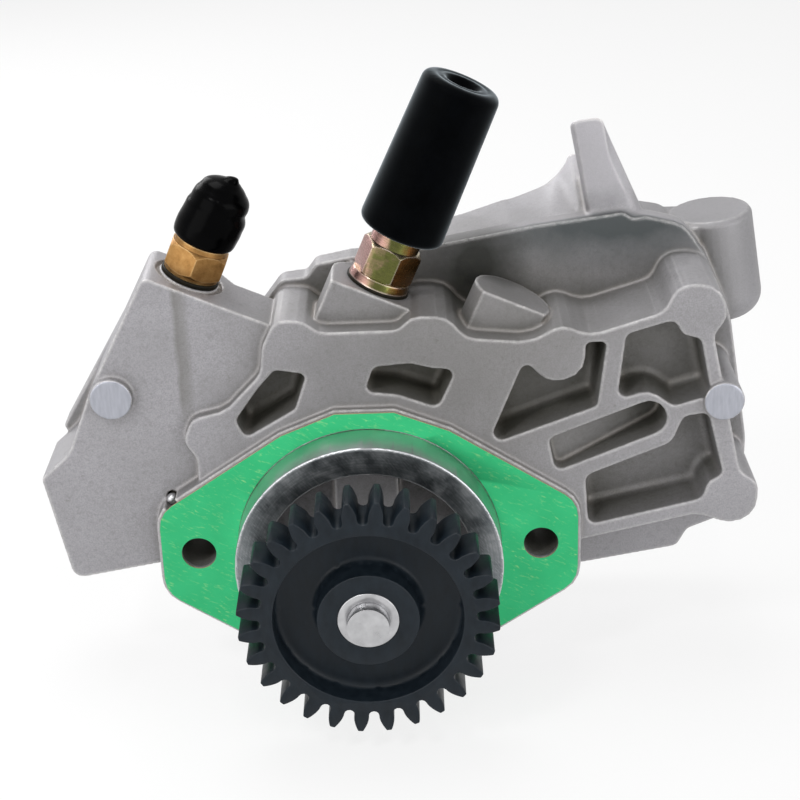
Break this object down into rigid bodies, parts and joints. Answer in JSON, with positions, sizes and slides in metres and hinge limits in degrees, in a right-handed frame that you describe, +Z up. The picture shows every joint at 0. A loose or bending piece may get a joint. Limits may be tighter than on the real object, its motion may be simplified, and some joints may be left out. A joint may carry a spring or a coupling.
{
  "type": "gear driven fuel feed pump with hand primer",
  "caption": "Gear driven fuel feed pump: cast housing with pilot spigot and flange, gear on a through shaft, hand primer knob, capped outlet and relief valve.",
  "frame": {"origin": "centre of the pilot spigot on the front face of the mounting gasket", "axes": "-Y out of the spigot towards the drive gear, +X through the right flange bolt hole, +Z up towards the ports"},
  "size_m": [0.2239, 0.1132, 0.1868],
  "materials": {
    "cast_aluminium": "fine grit blasted casting",
    "gasket_fibre": "green coated fibre",
    "gear_nylon": "glass filled nylon",
    "turned_steel": "turned steel",
    "hardened_steel": "ground steel",
    "bronze": "bearing bronze",
    "black_rubber": "matte rubber",
    "seal_rubber": "oiled rubber",
    "brass": "machined brass",
    "zinc_plated": "yellow zinc plate",
    "cap_vinyl": "glossy vinyl",
    "copper": "soft copper"
  },
  "bodies": {
    "pump_body": {"housing": "cast_aluminium", "mounting_gasket": "gasket_fibre", "shaft_seal": "seal_rubber", "front_bush": "bronze", "rear_bush": "bronze", "idler_pin": "hardened_steel", "rear_cover": "cast_aluminium", "cover_seal": "seal_rubber", "cover_screws": "hardened_steel", "outlet_fitting": "brass", "outlet_seal": "seal_rubber", "outlet_check_spring": "turned_steel", "primer_body": "zinc_plated", "primer_seal": "seal_rubber", "primer_guide": "turned_steel", "primer_spring": "turned_steel", "gallery_ball": "turned_steel", "relief_spring": "turned_steel", "relief_plug": "hardened_steel", "relief_washer": "copper"},
    "drive": {"drive_gear": "gear_nylon", "gear_hub_insert": "turned_steel", "drive_shaft": "turned_steel", "pump_drive_gear": "hardened_steel", "pump_gear_key": "hardened_steel"},
    "idler": {"pump_idler_gear": "hardened_steel"},
    "primer_plunger": {"primer_rod": "turned_steel", "primer_piston_ring": "black_rubber", "primer_knob": "black_rubber"},
    "relief_valve": {"relief_piston": "hardened_steel"},
    "outlet_check": {"outlet_check_ball": "hardened_steel"},
    "inlet_check": {"inlet_check_ball": "hardened_steel"},
    "cap": {"protective_cap": "cap_vinyl"}
  },
  "joints": [
    {"name": "gear_spin", "type": "hinge", "parent": "pump_body", "child": "drive", "pos_m": [0, 0, 0], "axis": [0, 1, 0], "continuous": true},
    {"name": "idler_spin", "type": "hinge", "parent": "pump_body", "child": "idler", "pos_m": [0, 0, 0.03006], "axis": [0, 1, 0], "continuous": true},
    {"name": "primer_push", "type": "slide", "parent": "pump_body", "child": "primer_plunger", "axis": [-0.4067, 0, -0.9135], "range_m": [0, 0.008], "stiffness_N_per_m": 900, "springref_m": -0.006, "deforming": ["primer_spring"]},
    {"name": "relief_lift", "type": "slide", "parent": "pump_body", "child": "relief_valve", "axis": [0, 1, 0], "range_m": [0, 0.005], "stiffness_N_per_m": 2000, "springref_m": -0.004, "deforming": ["relief_spring"]},
    {"name": "outlet_check_lift", "type": "slide", "parent": "pump_body", "child": "outlet_check", "axis": [0.4067, 0, 0.9135], "range_m": [0, 0.0015], "stiffness_N_per_m": 200, "springref_m": -0.002, "deforming": ["outlet_check_spring"]},
    {"name": "inlet_check_lift", "type": "slide", "parent": "pump_body", "child": "inlet_check", "axis": [0.4067, 0, 0.9135], "range_m": [0, 0.0015]},
    {"name": "cap_pull", "type": "slide", "parent": "pump_body", "child": "cap", "axis": [0.4067, 0, 0.9135], "range_m": [0, 0.03]}
  ],
  "couplings": [
    {"joint": "idler_spin", "follows": "gear_spin", "ratio": -1}
  ]
}
